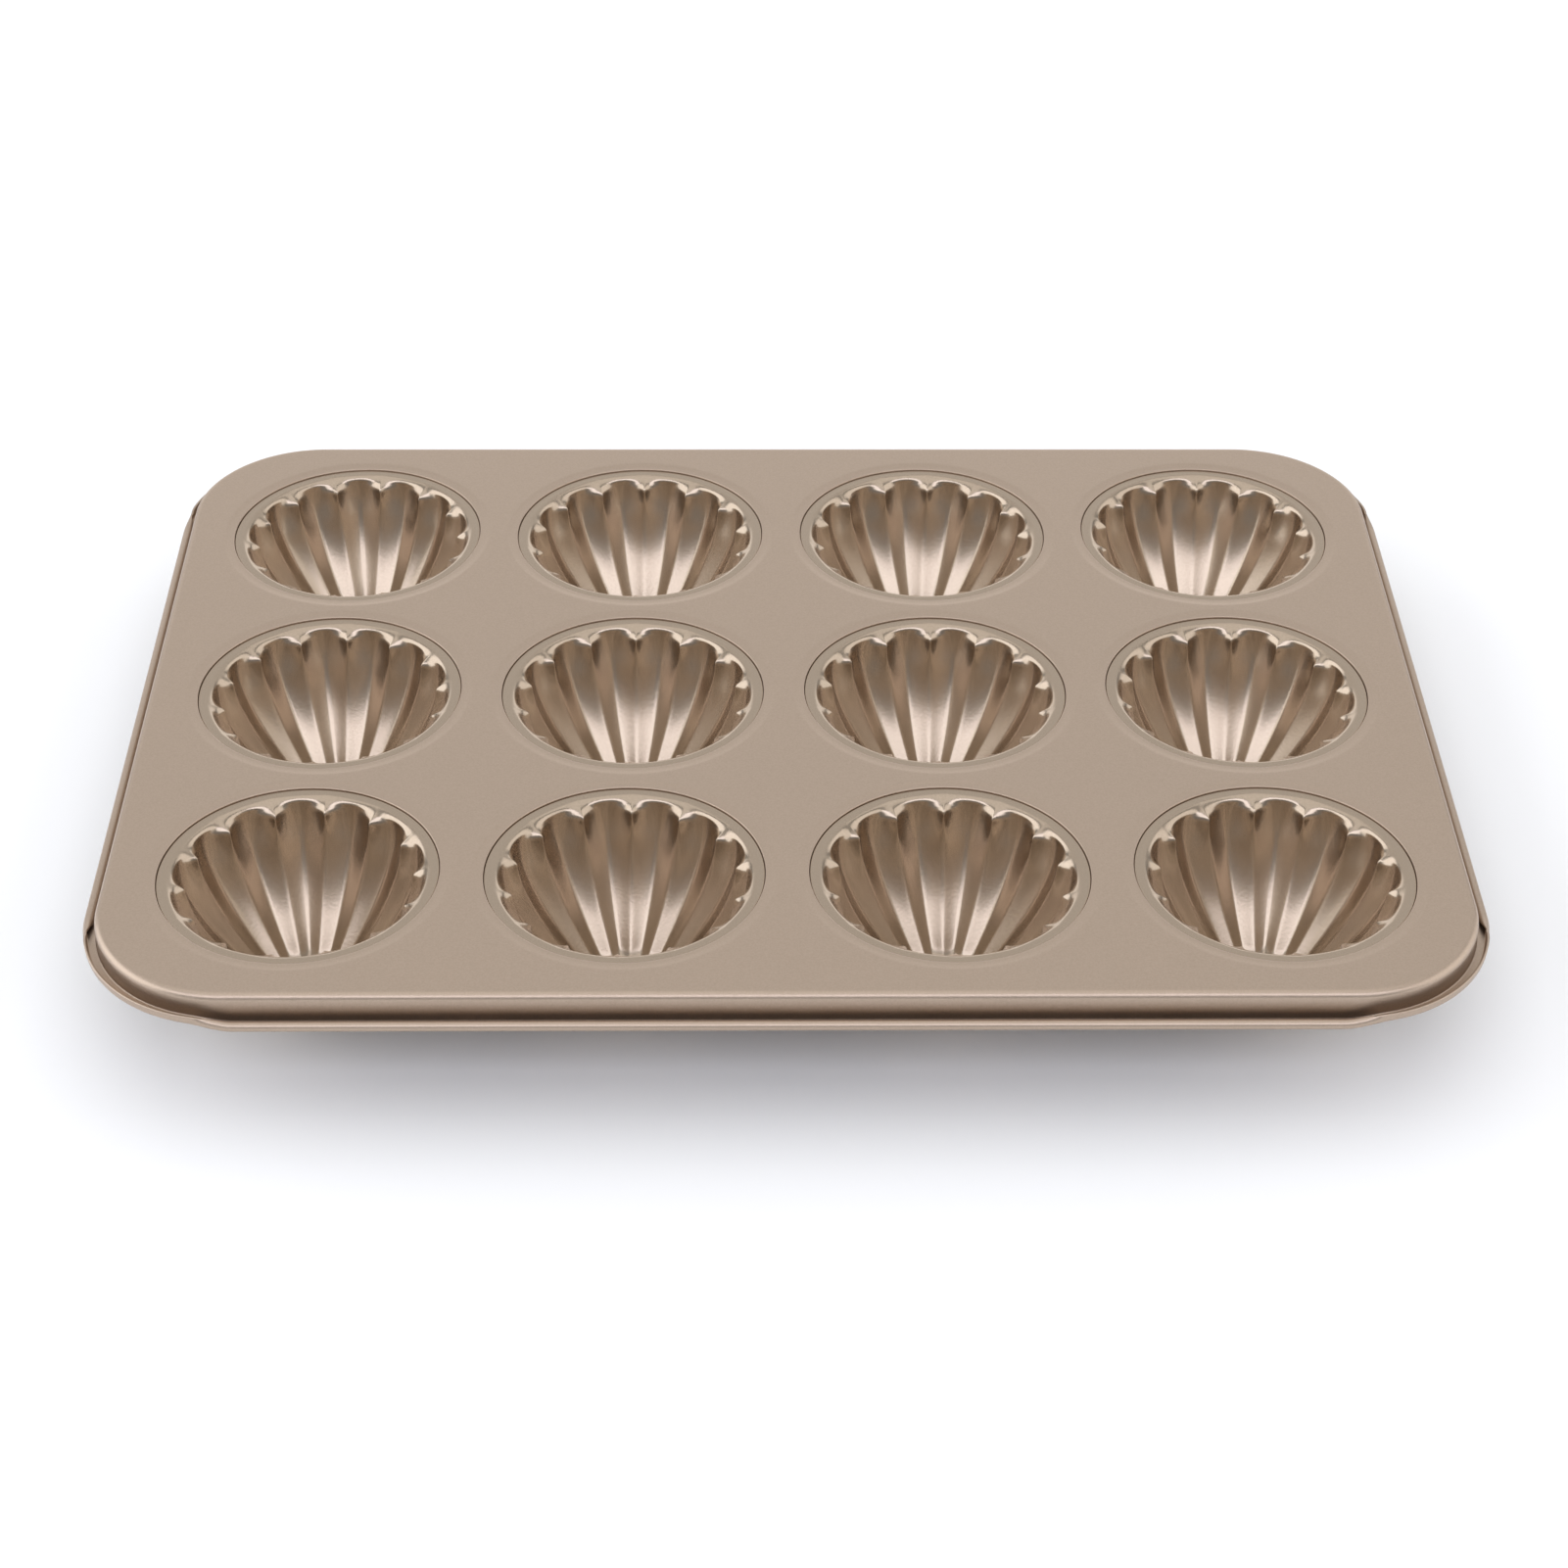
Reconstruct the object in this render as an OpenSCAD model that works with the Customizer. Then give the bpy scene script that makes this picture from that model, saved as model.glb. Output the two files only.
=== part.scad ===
// Twelve-cup fluted cake pan in sheet steel: a pressed tray with a rolled rim, and
// twelve separately pressed fluted cups, each seamed into its own hole in the tray.
// X runs along the four columns, Y from the front row to the back row, and Z is up.
// The origin is the centre of the footprint, on the surface that the cup bases stand on.

/* [Cup grid] */
// Diameter of the ring line, where a cup's flange meets the deck
ring_d = 71; // [60:0.5:84]
// Deck left between two ring lines from left to right
land_x = 11; // [8:0.25:24]
// Deck left between two ring lines from front to back
land_y = 8.5; // [8:0.25:24]

/* [Deck] */
// Deck from the outer ring lines to the left and right skirts
end_land = 13.25; // [8:0.25:30]
// Deck from the outer ring lines to the front and back skirts
side_land = 12.5; // [8:0.25:30]
// Radius of the skirt's corners, seen from above
corner_r = 35; // [15:1:45]
// Thickness of the tray's sheet
tray_t = 0.6; // [0.4:0.1:1]
// Outer radius of the bend from the deck to the skirt
bend_r = 1.8; // [1.2:0.1:3]
// Width of the shallow shoulder that the deck has around every hole
shoulder_w = 3; // [2:0.1:3.4]
// How far the shoulder sinks below the deck, where it reaches the ring line
shoulder_drop = 0.25; // [0.1:0.05:0.5]

/* [Rim along the sides] */
// Height of the skirt, from the deck's top to the underside of the rim channel
skirt_h = 8.5; // [6:0.5:16]
// Open width of the channel between the skirt and the rolled bead
channel_w = 1.4; // [0.8:0.1:4]
// Outer radius of the rolled bead
bead_r = 1.3; // [1.1:0.1:2.5]
// Inner radius of the bend from the skirt to the channel's floor
foot_r = 0.4; // [0.2:0.1:0.7]

/* [Rim at the corners] */
// Height of the skirt at the corners, where the edge stands up as a plain lip
corner_skirt_h = 7.3; // [5.4:0.1:8]
// Open width of the channel at the corners
corner_channel_w = 2.4; // [1.6:0.1:4]
// Height of the lip above the underside of the channel
corner_lip_h = 2.7; // [1.6:0.1:3.5]
// How far the lip runs on along the sides before the rolled bead starts
lip_run = 4; // [1:0.5:15]

/* [Cup] */
// Height from the underside of the cup bases to the deck's top
pan_h = 38; // [28:1:46]
// Thickness of the cup's sheet
cup_t = 0.6; // [0.4:0.1:0.9]
// Step down from the ring line to the cup's flange
flange_step = 0.45; // [0.2:0.05:1]
// Width of the flat flange, from the ring line to the lip
flange_w = 2.3; // [2:0.1:5]
// Radius of the rounded lip between the flange and the lobes of the wall
lip_r = 1.3; // [1:0.1:2]
// Depth over which the ridges between the flutes slope in from the flange
crest_drop = 2.7; // [2.5:0.1:8]
// Number of flutes around a cup
flutes = 13; // [9:1:17]
// Depth of the flutes at the top; they get shallower as the cup narrows
flute_depth = 3.6; // [1.5:0.1:4.5]
// Diameter of the flat base, across the ridges between the flutes
base_d = 19.5; // [14:0.5:30]
// How full the wall's curve is: 1 is a plain cone, 2 is a round bowl
fullness = 1.58; // [1.2:0.02:2]

/* [Seam] */
// Clearance between the cup's hem and the tray's collar
seam_gap = 0.1; // [0.05:0.01:0.2]
// Depth of the collar around each hole, from the deck's top
collar_h = 3.4; // [3:0.1:5]
// Radius of the crisp edge where the shoulder turns down into the collar
collar_edge_r = 0.25; // [0.1:0.05:0.4]
// Height of the hem's outer wall, which hooks up around the collar
hem_h = 1.6; // [1:0.1:2]

/* [Hidden] */
columns = 4;
row_names = ["back", "middle", "front"];

// Turn of each cup in its hole, clockwise from above, in degrees: a round seam doesn't
// index the cup, so every one sits at an angle of its own
cup_turns = [
    [7.5, 1, 6, 3.5],
    [3, 0, 0.5, 5],
    [7, 2, 0, -2.5],
];

sheet_colour = [0.63, 0.56, 0.47];
cup_colour = [0.6, 0.53, 0.44];
overlap = 0.6;
arc_steps = 96;
shoulder_steps = 4;
columns_per_flute = 4;
// Depths of the wall's rings, as shares of the bowl's depth
wall_levels = [1, 0.8, 0.45];
// Roundness of the lip in section: 2 is a quarter circle and 1 is a straight chamfer
lobe_roundness = 2;
crest_roundness = 1.2;
// Angle that the round arc of a lobe turns through on each side of the lobe's middle
lobe_arc = 66;

pitch_x = ring_d + land_x;
pitch_y = ring_d + land_y;
deck_l = (columns - 1) * pitch_x + ring_d + 2 * end_land;
deck_w = (len(row_names) - 1) * pitch_y + ring_d + 2 * side_land;

ring_r = ring_d / 2;
ring_z = pan_h - shoulder_drop;
flange_z = ring_z - flange_step;
flange_r = ring_r - seam_gap;
mouth_r = ring_r - flange_w;
lobe_r = mouth_r - lip_r;
ridge_r = lobe_r - flute_depth;
base_r = base_d / 2;
bowl_depth = flange_z - cup_t;

function cup_name(row, c) = str("cup_", row, "_", c);

// Radius of the wall on its ridges, at a depth below the flange's top
function ridge_at(depth) =
    ridge_r - (ridge_r - base_r) * pow(depth / bowl_depth, fullness);

// Radius of the wall in the middle of its lobes
function full_at(depth) = ridge_at(depth) * lobe_r / ridge_r;

// Slope of the wall at a depth: how much the radius shrinks for 1 mm of depth
function slope_at(depth) =
    fullness * (ridge_r - base_r) / bowl_depth * pow(depth / bowl_depth, fullness - 1);

// Radius of the lip at a depth: it leaves the flange level and meets the wall, which has
// wall_r at the depth drop, upright
function lip_at(depth, drop, wall_r, roundness) =
    mouth_r - (mouth_r - wall_r) * pow(1 - pow(1 - depth / drop, roundness), 1 / roundness);

function crest_at(depth) =
    depth < crest_drop
    ? lip_at(depth, crest_drop, ridge_at(crest_drop), crest_roundness)
    : ridge_at(depth);

function lobe_at(depth) =
    depth < lip_r
    ? lip_at(depth, lip_r, full_at(lip_r), lobe_roundness)
    : full_at(depth);

// Swell of a lobe at a turn counted in flutes: 0 on a ridge, and rising along a round arc to
// 1 in the middle of the flute
function swell(turn) =
    let (away = abs(2 * (turn % 1) - 1))
    (sqrt(1 - pow(sin(lobe_arc) * away, 2)) - cos(lobe_arc)) / (1 - cos(lobe_arc));

// One closed ring of points around the cup, from its radius on the ridges to its radius
// in the middle of the lobes, at the height z
function ring(crest, lobe, z) = [
    for (i = [0 : flutes * columns_per_flute - 1])
        let (
            turn = i / columns_per_flute,
            a = turn * 360 / flutes,
            r = crest + (lobe - crest) * swell(turn)
        )
        [r * cos(a), r * sin(a), z]
];

// Ring of the wall's inner face at a depth below the flange's top
function inner_ring(depth) = ring(crest_at(depth), lobe_at(depth), flange_z - depth);

// Ring of the wall's outer face, square across the sheet from the inner ring at a depth
function outer_ring(depth) =
    let (
        slope = slope_at(depth),
        across = cup_t / sqrt(1 + slope * slope)
    )
    ring(crest_at(depth) + across, lobe_at(depth) + across, flange_z - depth - across * slope);

// Solid through a stack of rings, from the lowest to the highest
module loft(rings) {
    n = len(rings[0]);
    last = len(rings) - 1;
    sides = [
        for (k = [0 : last - 1], i = [0 : n - 1], half = [0, 1])
            let (a = k * n + i, b = k * n + (i + 1) % n)
            half == 0 ? [a, a + n, b] : [b, a + n, b + n]
    ];
    floor_face = [for (i = [0 : n - 1]) i];
    top_face = [for (i = [0 : n - 1]) last * n + n - 1 - i];
    polyhedron([for (level = rings) each level], concat(sides, [floor_face, top_face]));
}

// Hollow of a cup: the wall's inner face, the lip, and a flare that goes on above the
// flange at the lip's own slope
module cup_hollow() {
    shallow = lip_r / 4;
    flare = 2 * mouth_r;
    loft(concat(
        [for (s = wall_levels) inner_ring(s * bowl_depth)],
        [
            inner_ring(crest_drop),
            inner_ring(lip_r),
            inner_ring(shallow),
            ring(flare - crest_at(shallow), flare - lobe_at(shallow), flange_z + shallow),
        ]
    ));
}

// Outside of a cup, one sheet thickness away from the hollow
module cup_outside() {
    foot_grow = cup_t / 2;
    shallow_r = mouth_r - lip_r / 3;
    loft(concat(
        [ring(base_r + foot_grow, full_at(bowl_depth) + foot_grow, 0)],
        [for (s = [wall_levels[1], wall_levels[2]]) outer_ring(s * bowl_depth)],
        [
            outer_ring(crest_drop),
            ring(shallow_r, shallow_r, flange_z - cup_t / 2),
        ]
    ));
}

// Section of the cup's flange and of its hem, which hooks under the tray's collar
module flange_section() {
    hem_floor = pan_h - collar_h - seam_gap;
    outer_wall = ring_r + tray_t + seam_gap;
    translate([0, flange_z - cup_t])
        square([flange_r, cup_t]);
    translate([flange_r - cup_t, hem_floor - cup_t])
        square([cup_t, flange_z - hem_floor + cup_t]);
    translate([flange_r - cup_t, hem_floor - cup_t])
        square([outer_wall - flange_r + 2 * cup_t, cup_t]);
    translate([outer_wall, hem_floor - cup_t])
        square([cup_t, hem_h]);
}

// One pressed cup with its flange and hem
module cup(turn) {
    color(cup_colour)
        rotate([0, 0, 90 - turn])
            difference() {
                union() {
                    rotate_extrude($fn = arc_steps)
                        flange_section();
                    cup_outside();
                }
                cup_hollow();
            }
}

// Section of the shoulder and collar around a hole, up to the strip of deck beside them.
// The shoulder is level at the crisp edge and rises to a faint crease in the deck
module collar_section() {
    rise_w = shoulder_w - collar_edge_r;
    rise = [
        for (i = [0 : shoulder_steps])
            let (share = i / shoulder_steps)
            [ring_r + collar_edge_r + share * rise_w, pan_h - shoulder_drop * cos(90 * share)]
    ];
    strip = [ring_r + shoulder_w + overlap, pan_h];
    top = concat([[ring_r, ring_z]], rise, [strip]);
    underside = [for (i = [len(top) - 1 : -1 : 0]) top[i] - [0, tray_t]];
    difference() {
        union() {
            polygon(concat(top, underside));
            translate([ring_r, pan_h - collar_h])
                square([tray_t, ring_z - tray_t / 2 - pan_h + collar_h]);
        }
        translate([ring_r, ring_z - collar_edge_r])
            difference() {
                square(collar_edge_r);
                translate([collar_edge_r, 0])
                    circle(collar_edge_r, $fn = 48);
            }
    }
}

// Quarter of a bent sheet around the origin, in the quadrant that the signs name
module bent_sheet(outer_r, sheet, sign_x, sign_y) {
    intersection() {
        difference() {
            circle(outer_r, $fn = 48);
            circle(outer_r - sheet, $fn = 48);
        }
        translate([min(0, sign_x * outer_r), min(0, sign_y * outer_r)])
            square(outer_r);
    }
}

// Section of the deck's edge and a skirt of the height h, with the bend at its foot. X is
// 0 on the skirt's outer face and grows outwards, and Y is the height
module skirt_section(h) {
    floor_z = pan_h - h;
    translate([-bend_r - overlap, pan_h - tray_t])
        square([overlap, tray_t]);
    translate([-bend_r, pan_h - bend_r])
        bent_sheet(bend_r, tray_t, 1, 1);
    translate([-tray_t, floor_z + tray_t + foot_r])
        square([tray_t, h - bend_r - tray_t - foot_r]);
    translate([foot_r, floor_z + tray_t + foot_r])
        bent_sheet(foot_r + tray_t, tray_t, -1, -1);
}

// Section of the rim along the sides: skirt, narrow channel and rolled bead
module bead_section() {
    floor_z = pan_h - skirt_h;
    bead_x = channel_w + bead_r;
    bead_slit = tray_t / 2;
    skirt_section(skirt_h);
    translate([foot_r, floor_z])
        square([bead_x - foot_r, tray_t]);
    difference() {
        translate([bead_x, floor_z + bead_r])
            difference() {
                circle(bead_r, $fn = 48);
                circle(bead_r - tray_t, $fn = 48);
            }
        translate([bead_x - bead_r, floor_z])
            square([bead_r, tray_t + bead_slit]);
    }
}

// Section of the rim at the corners: skirt, wide channel and upright lip
module lip_section() {
    floor_z = pan_h - corner_skirt_h;
    skirt_section(corner_skirt_h);
    translate([foot_r, floor_z])
        square([corner_channel_w - 2 * foot_r, tray_t]);
    translate([corner_channel_w - foot_r, floor_z + tray_t + foot_r])
        bent_sheet(foot_r + tray_t, tray_t, 1, -1);
    translate([corner_channel_w, floor_z + tray_t + foot_r])
        square([tray_t, corner_lip_h - tray_t - foot_r]);
}

// Rectangle with round corners, centred on the origin
module rounded_plate(l, w, r) {
    square([l - 2 * r, w], center = true);
    square([l, w - 2 * r], center = true);
    for (x = [-1, 1], y = [-1, 1])
        translate([x * (l / 2 - r), y * (w / 2 - r)])
            circle(r, $fn = arc_steps);
}

// Straight stretch of its children's section, centred along one side of the tray
module along_side(side, distance, from, to) {
    rotate([0, 0, side])
        translate([distance, to, 0])
            rotate([90, 0, 0])
                linear_extrude(to - from)
                    children();
}

// Rim along one side: the bead, and at both its ends the lip that comes round the corner
module straight_rim(side, distance, length) {
    bead_end = length / 2 - lip_run;
    along_side(side, distance, -bead_end, bead_end)
        bead_section();
    along_side(side, distance, -length / 2, -bead_end)
        lip_section();
    along_side(side, distance, bead_end, length / 2)
        lip_section();
}

// Rim around the four corners and along the four sides
module rim() {
    straight_x = deck_l - 2 * corner_r;
    straight_y = deck_w - 2 * corner_r;
    for (side = [0, 180])
        straight_rim(side, deck_l / 2, straight_y);
    for (side = [90, 270])
        straight_rim(side, deck_w / 2, straight_x);
    for (quarter = [0 : 3])
        translate([
            (quarter == 0 || quarter == 3 ? 1 : -1) * straight_x / 2,
            (quarter < 2 ? 1 : -1) * straight_y / 2,
            0
        ])
            rotate([0, 0, 90 * quarter])
                rotate_extrude(angle = 90, $fn = arc_steps)
                    translate([corner_r, 0])
                        lip_section();
}

// Places its children at the centre of every cup
module at_cups() {
    for (row = [0 : len(row_names) - 1], c = [1 : columns])
        translate([cup_x(c), cup_y(row), 0])
            children();
}

function cup_x(c) = (c - (columns + 1) / 2) * pitch_x;
function cup_y(row) = ((len(row_names) - 1) / 2 - row) * pitch_y;

// The tray: deck with twelve collared holes, skirt and rim in one sheet
module tray() {
    hole_r = ring_r + shoulder_w + overlap / 2;
    color(sheet_colour) {
        difference() {
            translate([0, 0, pan_h - tray_t])
                linear_extrude(tray_t)
                    rounded_plate(deck_l - 2 * bend_r, deck_w - 2 * bend_r, corner_r - bend_r);
            at_cups()
                translate([0, 0, pan_h - 2 * tray_t])
                    cylinder(h = 3 * tray_t, r = hole_r, $fn = arc_steps);
        }
        at_cups()
            rotate_extrude($fn = arc_steps)
                collar_section();
        rim();
    }
}

tray();
for (row = [0 : len(row_names) - 1], c = [1 : columns])
    translate([cup_x(c), cup_y(row), 0])
            cup(cup_turns[row][c - 1]);
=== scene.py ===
import math

import bmesh
import bpy
from mathutils import Matrix, Vector


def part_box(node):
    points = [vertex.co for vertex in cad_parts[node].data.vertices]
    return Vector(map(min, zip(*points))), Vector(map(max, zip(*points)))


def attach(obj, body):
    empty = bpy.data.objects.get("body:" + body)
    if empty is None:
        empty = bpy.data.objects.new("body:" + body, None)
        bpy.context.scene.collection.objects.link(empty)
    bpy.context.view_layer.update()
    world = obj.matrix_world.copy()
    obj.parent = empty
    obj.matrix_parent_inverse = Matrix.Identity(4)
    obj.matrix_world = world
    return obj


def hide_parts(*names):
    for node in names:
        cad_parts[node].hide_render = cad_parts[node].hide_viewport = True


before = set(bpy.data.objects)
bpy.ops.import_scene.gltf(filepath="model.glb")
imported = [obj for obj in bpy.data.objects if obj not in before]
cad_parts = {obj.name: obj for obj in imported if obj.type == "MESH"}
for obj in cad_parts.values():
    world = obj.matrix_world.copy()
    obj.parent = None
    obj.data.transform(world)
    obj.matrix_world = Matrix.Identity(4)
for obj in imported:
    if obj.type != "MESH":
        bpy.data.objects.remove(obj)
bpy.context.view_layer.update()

# Sizes of the pan are in millimetres here and become metres as a mesh is made
MM = 0.001

# Camera, measured from the photograph: its place in millimetres from the deck's centre, angles
# in degrees, and lens and sensor in millimetres
CAMERA_PLACE = (-11.2, -717.9, 504.6)
CAMERA_TURN = 0.91
CAMERA_TILT = 36.78
CAMERA_ROLL = 0.465
CAMERA_LENS = 74.21
SENSOR_WIDTH = 36.0

# Tray
SHEET = 0.6
BEND_R = 1.8
LEVEL_EDGE = 0.5
CORNER_R = 35.0
SKIRT_H = 8.5
CHANNEL_W = 1.4
BEAD_R = 1.3
FOOT_R = 0.4
RING_R = 35.5
SHOULDER_W = 3.0
SHOULDER_DROP = 0.25
COLLAR_H = 3.4
COLLAR_EDGE_R = 0.25
CREASE = 0.35
CORNER_LIP_TOP = 4.7
CORNER_CHANNEL_H = 7.3
CORNER_LIP_REACH = 2.7
CORNER_LIP_R = 0.8
CORNER_LIP_LEAN = 0.1
# A corner's lip starts to open this far before the corner, and is open this far into it
INTO_STRAIGHT, INTO_CORNER = 3.0, 8.0

# Cups
FLANGE_STEP = 0.45
FLANGE_W = 2.3
FLANGE_EDGE_R = 0.25
FLUTES = 14
FLUTE_DEPTH = 3.2
BASE_D = 19.5
FLUTE_END = 1.2
RIDGE_FULLNESS = 1.88
LOBE_FULLNESS = 1.7
SEAM_GAP = 0.1
HEM_H = 1.6
HEM_CORNER = 0.2
BASE_FILLET = 2.5
BASE_FILLET_RUN = 0.8
# The lip's depth and the roundness of its section, in the middle of a flute and on a ridge
LIP_R, LOBE_ROUNDNESS = 1.4, 2.0
CREST_DROP, CREST_ROUNDNESS = 2.7, 1.2
# Roundness of the flutes across their middle and towards their ridges, at the lip and below it
TOP_MIDDLE, TOP_FLANK = 2.0, 1.6
LOW_MIDDLE, LOW_FLANK = 1.1, 0.9
ROUND_DEPTH = 12.0
RIDGE_SOFTNESS = 0.1

# Coatings: light and dark flakes, and roughness, which varies by a little over the sheet
TRAY_COATING = (0.47, 0.37, 0.295), (0.43, 0.34, 0.265), 0.4
# The cups wear the tray's coating made a little darker, as painted shade for their deep wells
CUP_COATING_WITH_PAINTED_SHADE = (0.445, 0.357, 0.277), (0.402, 0.324, 0.248), 0.24
ROUGHNESS_SPREAD = 0.03
# Noise of the flakes, the uneven sheen and the pebbled grain: spots in a metre, and detail
FLAKES = 2200.0, 3.0
CLOUDS = 60.0, 2.0
PEBBLES = 1400.0, 2.0
PEBBLE_STRENGTH = 0.12
PEBBLE_HEIGHT = 0.0001

# Light: even glow of the room, and each soft panel's name, place, size, glow and tint, in metres
ROOM_LIGHT = 0.3
PANELS = (
    ("front_panel", (0.0, -2.23, 2.01), (4.6, 1.35), 2.5, (0.85, 0.88, 1.0)),
    ("top_panel", (0.0, 0.0, 2.2), (2.6, 2.6), 0.9, (1.0, 1.0, 1.0)),
    ("back_panel", (0.0, 2.77, 1.6), (4.5, 3.4), 0.54, (1.0, 1.0, 1.0)),
    ("low_back_panel", (0.0, 3.1, 0.7), (5.0, 1.1), 0.65, (1.0, 1.0, 1.0)),
    ("right_panel", (2.78, 0.0, 1.12), (4.4, 3.0), 1.2, (1.0, 1.0, 1.0)),
    ("left_panel", (-2.78, 0.0, 1.12), (4.4, 3.0), 1.9, (0.93, 0.96, 1.0)),
)

COLUMNS = 4
ROW_NAMES = ("back", "middle", "front")
# Chance turn of each cup in its seam, in degrees, row by row from the back
CUP_TURNS = ((7.5, 1, 6, 3.5), (3, 0, 0.5, 5), (7, 2, 0, -2.5))

tray_low, tray_high = [[v / MM for v in corner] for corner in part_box("tray")]
PAN_H = tray_high[2]
HALF_L = tray_high[0] - CHANNEL_W - 2 * BEAD_R
HALF_W = tray_high[1] - CHANNEL_W - 2 * BEAD_R


def cup_centre(node):
    """Centre of a cup's round flange, in millimetres, from the middle of its CAD box."""
    low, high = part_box(node)
    return [(low[i] + high[i]) / 2 / MM for i in (0, 1)]


def cup_nodes():
    """Every cup's node name, its column and row, and its turn, row by row from the back."""
    for row, turns in enumerate(CUP_TURNS):
        for column, turn in enumerate(turns):
            yield f"cup_{ROW_NAMES[row]}_{column + 1}", column, row, turn


corner_cups = cup_centre("cup_back_1"), cup_centre("cup_front_4")
PITCH_X = (corner_cups[1][0] - corner_cups[0][0]) / (COLUMNS - 1)
PITCH_Y = (corner_cups[0][1] - corner_cups[1][1]) / (len(ROW_NAMES) - 1)
FLANGE_TOP = -SHOULDER_DROP - FLANGE_STEP
FLANGE_R = RING_R - SEAM_GAP
MOUTH_R = RING_R - FLANGE_W
LOBE_R = MOUTH_R - LIP_R
RIDGE_R = LOBE_R - FLUTE_DEPTH
BOWL_DEPTH = PAN_H + FLANGE_TOP - SHEET
WALL_END = BOWL_DEPTH - BASE_FILLET


def grid_centre(column, row):
    """Centre of a hole and its cup on the tray's even grid, from column and row counted from 0."""
    x = (column - (COLUMNS - 1) / 2) * PITCH_X
    y = ((len(ROW_NAMES) - 1) / 2 - row) * PITCH_Y
    return x, y


def smooth(value, start, end):
    """0 before start, 1 after end, and an even S-curve between them."""
    t = min(max((value - start) / (end - start), 0.0), 1.0)
    return t * t * (3 - 2 * t)


def mesh_object(name, bm):
    """A smooth-shaded object from a bmesh in millimetres."""
    bmesh.ops.scale(bm, vec=(MM, MM, MM), verts=bm.verts)
    bmesh.ops.recalc_face_normals(bm, faces=bm.faces)
    mesh = bpy.data.meshes.new(name)
    bm.to_mesh(mesh)
    bm.free()
    for polygon in mesh.polygons:
        polygon.use_smooth = True
    piece = bpy.data.objects.new(name, mesh)
    bpy.context.scene.collection.objects.link(piece)
    return piece


def bridge(bm, loops):
    """Quads between each closed loop of vertices and the next."""
    for a, b in zip(loops, loops[1:]):
        for i in range(len(a)):
            j = (i + 1) % len(a)
            bm.faces.new((a[i], a[j], b[j], b[i]))


def arc(cx, cy, r, start, end, steps):
    """Points on an arc, in degrees, both ends included."""
    points = []
    for k in range(steps + 1):
        a = math.radians(start + (end - start) * k / steps)
        points.append((cx + r * math.cos(a), cy + r * math.sin(a)))
    return points


def line(x0, y0, x1, y1, steps):
    """Points on a straight line, without its first point."""
    return [(x0 + (x1 - x0) * k / steps, y0 + (y1 - y0) * k / steps) for k in range(1, steps + 1)]


def section_faces(middle, sheet):
    """The two faces of a bent sheet whose middle line is given."""
    upper, lower = [], []
    for k, (x, y) in enumerate(middle):
        x0, y0 = middle[max(k - 1, 0)]
        x1, y1 = middle[min(k + 1, len(middle) - 1)]
        length = math.hypot(x1 - x0, y1 - y0)
        nx, ny = -(y1 - y0) / length, (x1 - x0) / length
        upper.append((x + nx * sheet / 2, y + ny * sheet / 2))
        lower.append((x - nx * sheet / 2, y - ny * sheet / 2))
    return upper, lower


def rim_middle(corner):
    """Middle line of the rim's section: 0 is the rolled bead of a side, 1 the plain lip of a corner."""
    half = SHEET / 2
    floor = -(SKIRT_H + (CORNER_CHANNEL_H - SKIRT_H) * corner) + half
    foot_y = floor + half + FOOT_R
    bead_x = CHANNEL_W + BEAD_R
    lip_x = CORNER_LIP_REACH
    points = [(-BEND_R - LEVEL_EDGE, -half)]
    points += arc(-BEND_R, -BEND_R, BEND_R - half, 90, 0, 8)
    points += line(-half, -BEND_R, -half, foot_y, 4)
    points += arc(FOOT_R, foot_y, FOOT_R + half, 180, 270, 4)[1:]
    points += line(FOOT_R, floor, bead_x - (bead_x - lip_x + CORNER_LIP_R) * corner, floor, 3)
    roll = arc(bead_x, floor - half + BEAD_R, BEAD_R - half, -90, 185, 22)[1:]
    lip = arc(lip_x - CORNER_LIP_R, floor + CORNER_LIP_R, CORNER_LIP_R, -90, 0, 8)[1:]
    lip += line(lip_x, floor + CORNER_LIP_R, lip_x + CORNER_LIP_LEAN, -CORNER_LIP_TOP, 14)
    points += [
        (a[0] + (b[0] - a[0]) * corner, a[1] + (b[1] - a[1]) * corner) for a, b in zip(roll, lip)
    ]
    return points


def direction(degrees):
    """A direction in the deck's plane."""
    a = math.radians(degrees)
    return math.cos(a), math.sin(a)


def corner_spots(cx, cy, start):
    """Points of the skirt round one corner, each with its direction and how far it is a corner."""
    steps = 36
    spots = []
    for k in range(steps + 1):
        normal = direction(start + 90 * k / steps)
        way_in = min(k, steps - k) * math.pi / 2 / steps * CORNER_R
        amount = smooth(way_in, -INTO_STRAIGHT, INTO_CORNER)
        spots.append(((cx + CORNER_R * normal[0], cy + CORNER_R * normal[1]), normal, amount))
    return spots


def side_spots(here, there, normal):
    """Such points along a straight side between two corners, closer together at its ends."""
    near_ends = [0.4, 1.2, 2.0, 2.8, 4.0]
    length = math.hypot(there[0] - here[0], there[1] - here[1])
    between = [near_ends[-1] + (length - 2 * near_ends[-1]) * k / 10 for k in range(1, 10)]
    spots = []
    for stop in near_ends + between + [length - d for d in reversed(near_ends)]:
        t = stop / length
        place = (here[0] + (there[0] - here[0]) * t, here[1] + (there[1] - here[1]) * t)
        amount = smooth(-min(stop, length - stop), -INTO_STRAIGHT, INTO_CORNER)
        spots.append((place, normal, amount))
    return spots


def outline():
    """Points all round the skirt, each with its outward direction and how far it is a corner."""
    x, y = HALF_L - CORNER_R, HALF_W - CORNER_R
    centres = ((x, y), (-x, y), (-x, -y), (x, -y))
    spots = []
    for number, (cx, cy) in enumerate(centres):
        start = 90 * number
        spots += corner_spots(cx, cy, start)
        next_x, next_y = centres[(number + 1) % 4]
        normal = direction(start + 90)
        there = (next_x + CORNER_R * normal[0], next_y + CORNER_R * normal[1])
        spots += side_spots(spots[-1][0], there, normal)
    return spots


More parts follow.
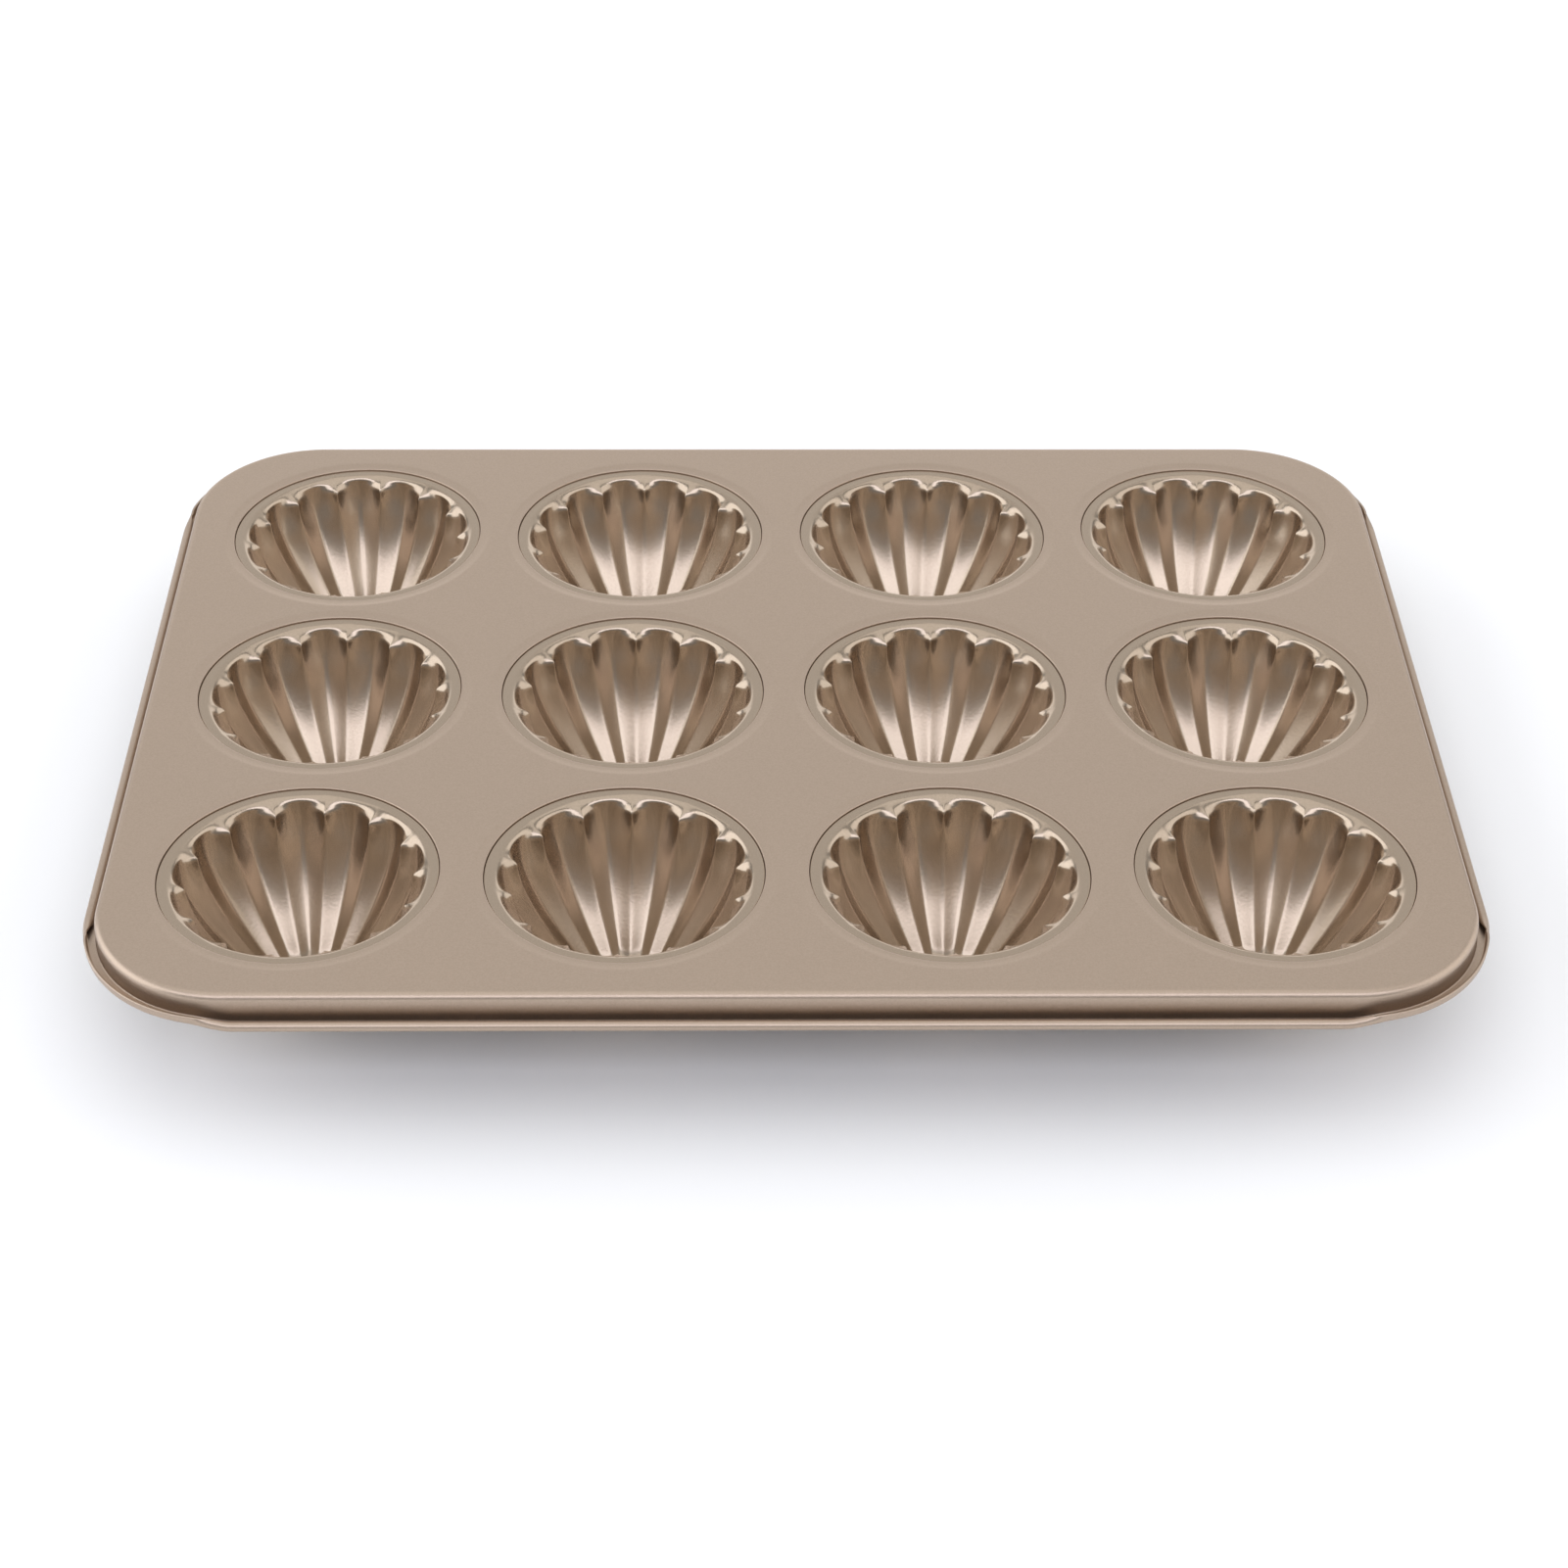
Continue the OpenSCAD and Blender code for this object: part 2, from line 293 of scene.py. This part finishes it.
def rim_loops(bm):
    """Loops of vertices around the tray for the rim's upper face and then its lower face."""
    spots = outline()
    sections = [section_faces(rim_middle(amount), SHEET) for _, _, amount in spots]
    faces = []
    for side in (0, 1):
        loops = []
        for k in range(len(sections[0][side])):
            loop = []
            for (place, normal, _), section in zip(spots, sections):
                out, up = section[side][k]
                loop.append(bm.verts.new((
                    place[0] + normal[0] * out,
                    place[1] + normal[1] * out,
                    PAN_H + up,
                )))
            loops.append(loop)
        faces.append(loops)
    return faces


def shoulder_height(x):
    """Height of the shoulder, from level at the crisp edge to a softened crease in the deck."""
    def plain(t):
        share = min(max((t - COLLAR_EDGE_R) / (SHOULDER_W - COLLAR_EDGE_R), 0.0), 1.0)
        return -SHOULDER_DROP * math.cos(math.pi / 2 * share)
    spread = [k / 4 * CREASE for k in range(-4, 5)]
    near = min(1.0, max(0.0, (x - COLLAR_EDGE_R) / CREASE))
    return sum(plain(x + near * t) for t in spread) / len(spread)


def collar_faces():
    """Deck face and underside of the shoulder and collar: distance from the hole's axis, and height."""
    margin, inset = 0.25, 0.12
    level_r = RING_R + SHOULDER_W + CREASE + margin
    edge_y = -SHOULDER_DROP - COLLAR_EDGE_R
    upper = [(level_r, 0.0), (level_r - inset, 0.0)]
    steps = 14
    for k in range(steps + 1):
        x = SHOULDER_W + CREASE - (SHOULDER_W + CREASE - COLLAR_EDGE_R) * k / steps
        upper.append((RING_R + x, shoulder_height(x)))
    upper += arc(RING_R + COLLAR_EDGE_R, edge_y, COLLAR_EDGE_R, 90, 180, 6)[1:]
    upper += line(RING_R, edge_y, RING_R, -COLLAR_H, 4)
    inside = RING_R + SHEET
    lower = [(r, up - SHEET) for r, up in upper if r > inside + 0.1]
    lower += line(*lower[-1], inside, -SHOULDER_DROP - SHEET, 1)
    lower += line(inside, -SHOULDER_DROP - SHEET, inside, -COLLAR_H, 3)
    return upper, lower


def round_loops(bm, centre, section, steps):
    """Loops of vertices that turn a section around a vertical axis."""
    loops = []
    for r, up in section:
        loop = []
        for i in range(steps):
            a = 2 * math.pi * i / steps
            loop.append(bm.verts.new((
                centre[0] + r * math.cos(a),
                centre[1] + r * math.sin(a),
                PAN_H + up,
            )))
        loops.append(loop)
    return loops


def loop_edges(bm, loop):
    """The edges along a closed loop of vertices."""
    found = []
    for i, vert in enumerate(loop):
        other = loop[(i + 1) % len(loop)]
        edge = bm.edges.get((vert, other))
        found.append(edge if edge else bm.edges.new((vert, other)))
    return found


def build_tray():
    """The tray: deck with collared holes, skirt, channel and a bead that opens at the corners."""
    bm = bmesh.new()
    hole_steps = 144
    rim_upper, rim_lower = rim_loops(bm)
    bridge(bm, rim_upper)
    bridge(bm, rim_lower)
    bridge(bm, [rim_upper[-1], rim_lower[-1]])
    deck_edges = [loop_edges(bm, rim_upper[0]), loop_edges(bm, rim_lower[0])]
    hole_upper, hole_lower = collar_faces()
    for row in range(len(ROW_NAMES)):
        for column in range(COLUMNS):
            centre = grid_centre(column, row)
            upper = round_loops(bm, centre, hole_upper, hole_steps)
            lower = round_loops(bm, centre, hole_lower, hole_steps)
            bridge(bm, upper)
            bridge(bm, lower)
            bridge(bm, [upper[-1], lower[-1]])
            deck_edges[0] += loop_edges(bm, upper[0])
            deck_edges[1] += loop_edges(bm, lower[0])
    for edges in deck_edges:
        bmesh.ops.triangle_fill(bm, use_beauty=True, edges=edges)
    return mesh_object("tray_sheet", bm)


def soft_size(value, softness):
    """Size of a value between -1 and 1, with the corner at 0 rounded off."""
    return (math.hypot(value, softness) - softness) / (math.hypot(1, softness) - softness)


def swell(turn, depth):
    """Swell of a flute, 0 on a ridge and 1 in its middle: a round lobe at the lip, and a groove
    with nearly straight sides further down."""
    away = 1 - soft_size(1 - abs(2 * turn - 1), RIDGE_SOFTNESS)
    low = smooth(depth, 0, ROUND_DEPTH)
    middle = TOP_MIDDLE + (LOW_MIDDLE - TOP_MIDDLE) * low
    flank = TOP_FLANK + (LOW_FLANK - TOP_FLANK) * low
    return (1 - away ** middle) ** (1 / flank)


def ridge_at(depth):
    """Radius of the wall on its ridges, at a depth below the flange."""
    return RIDGE_R - (RIDGE_R - BASE_D / 2) * (depth / BOWL_DEPTH) ** RIDGE_FULLNESS


def full_at(depth):
    """Radius of the wall in the middle of its flutes."""
    return LOBE_R - (LOBE_R - BASE_D / 2 - FLUTE_END) * (depth / BOWL_DEPTH) ** LOBE_FULLNESS


def lip_at(depth, drop, wall_r, roundness):
    """Radius of the lip, which leaves the flange level and meets the wall upright."""
    return MOUTH_R - (MOUTH_R - wall_r) * (1 - (1 - depth / drop) ** roundness) ** (1 / roundness)


def wall_at(depth, turn):
    """Radius of the lip and wall at a depth, and at a turn counted in flutes from a ridge."""
    if depth < CREST_DROP:
        crest = lip_at(depth, CREST_DROP, ridge_at(CREST_DROP), CREST_ROUNDNESS)
    else:
        crest = ridge_at(depth)
    if depth < LIP_R:
        full = lip_at(depth, LIP_R, full_at(LIP_R), LOBE_ROUNDNESS)
    else:
        full = full_at(depth)
    return crest + (full - crest) * swell(turn, depth)


def hem_and_flange():
    """Upper face of the hem, the seam and the level flange, from the hem's edge to the mouth."""
    floor = -COLLAR_H - SEAM_GAP
    hem_r = RING_R + SHEET + SEAM_GAP
    edge_y = FLANGE_TOP - FLANGE_EDGE_R
    edge_r = FLANGE_R - FLANGE_EDGE_R
    inset = 0.1
    points = [(hem_r, floor - SHEET + HEM_H)]
    points += line(hem_r, floor - SHEET + HEM_H, hem_r, floor + HEM_CORNER, 2)
    points += line(hem_r, floor + HEM_CORNER, hem_r - HEM_CORNER, floor, 1)
    points += line(hem_r - HEM_CORNER, floor, FLANGE_R + HEM_CORNER, floor, 2)
    points += line(FLANGE_R + HEM_CORNER, floor, FLANGE_R, floor + HEM_CORNER, 1)
    points += line(FLANGE_R, floor + HEM_CORNER, FLANGE_R, edge_y, 3)
    points += arc(edge_r, edge_y, FLANGE_EDGE_R, 0, 90, 5)[1:]
    points += line(edge_r, FLANGE_TOP, edge_r - inset, FLANGE_TOP, 1)
    points += line(edge_r - inset, FLANGE_TOP, MOUTH_R + inset, FLANGE_TOP, 4)
    points += line(MOUTH_R + inset, FLANGE_TOP, MOUTH_R, FLANGE_TOP, 1)
    return points


def wall_depths():
    """Depths of the rings of vertices down a cup's lip and wall, closest together on the lip."""
    lip_steps, crest_steps, wall_steps = 12, 2, 30
    depths = [LIP_R * (1 - math.cos(math.pi / 2 * k / lip_steps)) for k in range(1, lip_steps + 1)]
    depths += [LIP_R + (CREST_DROP - LIP_R) * k / crest_steps for k in range(1, crest_steps + 1)]
    depths += [CREST_DROP + (WALL_END - CREST_DROP) * k / wall_steps for k in range(1, wall_steps + 1)]
    return depths


def fillet_and_base(turn):
    """Upper face of the fillet, which leaves the wall at its slope and lands level on the base."""
    foot = wall_at(WALL_END, turn)
    rise = 0.5
    slope = (wall_at(WALL_END - rise, turn) - foot) / rise
    run = BASE_FILLET * (slope + BASE_FILLET_RUN)
    steps = 8
    points = []
    for k in range(1, steps + 1):
        t = k / steps
        r = (1 - t) ** 2 * foot + 2 * t * (1 - t) * (foot - BASE_FILLET * slope) + t * t * (foot - run)
        depth = (1 - t) ** 2 * WALL_END + (1 - (1 - t) ** 2) * BOWL_DEPTH
        points.append((r, FLANGE_TOP - depth))
    points += [((foot - run) * share, FLANGE_TOP - BOWL_DEPTH) for share in (0.8, 0.55, 0.3)]
    return points


def cup_section(turn):
    """Upper face of a cup from its hem to its base, at a turn counted in flutes from a ridge."""
    wall = [(wall_at(depth, turn), FLANGE_TOP - depth) for depth in wall_depths()]
    return hem_and_flange() + wall + fillet_and_base(turn)


def cup_loops(bm, centre, turn):
    """Loops of vertices round a cup, which stand closer together near a ridge of its wall."""
    per_flute = 24
    crowding = 0.11
    shares = [k / per_flute for k in range(per_flute)]
    places = [share - crowding * math.sin(2 * math.pi * share) for share in shares]
    sections = [cup_section(place) for place in places]
    loops = []
    for k in range(len(sections[0])):
        loop = []
        for flute in range(FLUTES):
            for place, section in zip(places, sections):
                r, up = section[k]
                x, y = direction(90 - turn + 360 / FLUTES * (flute + place))
                loop.append(bm.verts.new((centre[0] + r * x, centre[1] + r * y, PAN_H + up)))
        loops.append(loop)
    return loops


def build_cup(node, centre, turn):
    """One pressed cup with its flutes, lip, flange and hem."""
    bm = bmesh.new()
    loops = cup_loops(bm, centre, turn)
    bridge(bm, loops)
    last = loops[-1]
    middle = bm.verts.new((*centre, last[0].co.z))
    for i, vert in enumerate(last):
        bm.faces.new((vert, last[(i + 1) % len(last)], middle))
    piece = mesh_object(f"{node}_pressing", bm)
    if piece.data.polygons[-1].normal.z < 0:
        piece.data.flip_normals()
    solid = piece.modifiers.new("sheet", "SOLIDIFY")
    solid.thickness = SHEET * MM
    solid.offset = -1
    solid.use_even_offset = False
    return piece


def new_material(name):
    """An empty node material and its shader, ready for links."""
    material = bpy.data.materials.new(name)
    material.use_nodes = True
    nodes = material.node_tree.nodes
    shader = nodes["Principled BSDF"]
    return material, nodes, material.node_tree.links, shader


def noise(nodes, links, place, scale, detail):
    """The value of a noise texture that is fixed to its object."""
    texture = nodes.new("ShaderNodeTexNoise")
    texture.inputs["Scale"].default_value = scale
    texture.inputs["Detail"].default_value = detail
    links.new(place.outputs["Object"], texture.inputs["Vector"])
    return texture.outputs["Fac"]


def coating(name, light, dark, roughness):
    """Satin non-stick coating: metal flakes under a clear binder, with a fine pebbled grain."""
    material, nodes, links, shader = new_material(name)
    place = nodes.new("ShaderNodeTexCoord")
    tint = nodes.new("ShaderNodeValToRGB")
    for element, position, colour in zip(tint.color_ramp.elements, (0.3, 0.7), (dark, light)):
        element.position = position
        element.color = (*colour, 1)
    links.new(noise(nodes, links, place, *FLAKES), tint.inputs["Fac"])
    links.new(tint.outputs["Color"], shader.inputs["Base Color"])
    sheen = nodes.new("ShaderNodeMapRange")
    sheen.inputs["To Min"].default_value = roughness - ROUGHNESS_SPREAD
    sheen.inputs["To Max"].default_value = roughness + ROUGHNESS_SPREAD
    links.new(noise(nodes, links, place, *CLOUDS), sheen.inputs["Value"])
    links.new(sheen.outputs["Result"], shader.inputs["Roughness"])
    bump = nodes.new("ShaderNodeBump")
    bump.inputs["Strength"].default_value = PEBBLE_STRENGTH
    bump.inputs["Distance"].default_value = PEBBLE_HEIGHT
    links.new(noise(nodes, links, place, *PEBBLES), bump.inputs["Height"])
    links.new(bump.outputs["Normal"], shader.inputs["Normal"])
    shader.inputs["Metallic"].default_value = 1.0
    return material


def pale_floor():
    """A plain pale floor that the cup bases stand on."""
    material, _, _, shader = new_material("floor_finish")
    shader.inputs["Base Color"].default_value = (0.9, 0.9, 0.9, 1)
    shader.inputs["Roughness"].default_value = 0.7
    bm = bmesh.new()
    half = 6000.0
    corners = [(-half, -half, 0), (half, -half, 0), (half, half, 0), (-half, half, 0)]
    bm.faces.new([bm.verts.new(corner) for corner in corners])
    floor = mesh_object("floor", bm)
    floor.data.materials.append(material)


def soft_panel(name, place, size, glow, tint):
    """A soft panel of light that faces the tray, with an even glow all over it."""
    data = bpy.data.lights.new(name, "AREA")
    data.shape = "RECTANGLE"
    data.size, data.size_y = size
    data.energy = glow * math.pi * size[0] * size[1]
    data.color = tint
    lamp = bpy.data.objects.new(name, data)
    lamp.location = place
    lamp.rotation_euler = (-Vector(place)).to_track_quat("-Z", "Y").to_euler()
    bpy.context.scene.collection.objects.link(lamp)


def studio():
    """Plain soft studio light: a dim even room with large panels in front, above and around."""
    world = bpy.data.worlds.new("studio")
    world.use_nodes = True
    background = world.node_tree.nodes["Background"]
    background.inputs["Color"].default_value = (1, 1, 1, 1)
    background.inputs["Strength"].default_value = ROOM_LIGHT
    scene = bpy.context.scene
    scene.world = world
    scene.view_settings.view_transform = "Standard"
    for panel in PANELS:
        soft_panel(*panel)


def camera():
    """The camera where the photograph was taken from."""
    data = bpy.data.cameras.new("camera")
    data.sensor_width = SENSOR_WIDTH
    data.lens = CAMERA_LENS
    data.clip_start = 0.01
    data.clip_end = 50
    eye = bpy.data.objects.new("camera", data)
    turn = Matrix.Rotation(-math.radians(CAMERA_TURN), 4, "Z")
    tilt = Matrix.Rotation(math.radians(90 - CAMERA_TILT), 4, "X")
    roll = Matrix.Rotation(math.radians(CAMERA_ROLL), 4, "Z")
    x, y, z = CAMERA_PLACE
    place = Matrix.Translation((x * MM, y * MM, (z + PAN_H) * MM))
    eye.matrix_world = place @ turn @ tilt @ roll
    bpy.context.scene.collection.objects.link(eye)
    bpy.context.scene.camera = eye


def dress(piece, node, finish):
    """Gives a finished piece its coating, puts it under the root body and hides the CAD node that it
    stands for.
    """
    piece.data.materials.append(finish)
    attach(piece, "root")
    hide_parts(node)


def main():
    """Builds every piece, dresses it and sets the studio."""
    tray_finish = coating("tray_coating_finish", *TRAY_COATING)
    # The cups' finish is the tray's coating darkened by painted shade for the wells
    cup_finish_with_painted_shade = coating("cup_coating_with_painted_shade_finish", *CUP_COATING_WITH_PAINTED_SHADE)
    dress(build_tray(), "tray", tray_finish)
    for node, column, row, turn in cup_nodes():
        dress(build_cup(node, grid_centre(column, row), turn), node, cup_finish_with_painted_shade)
    pale_floor()
    studio()
    camera()


main()
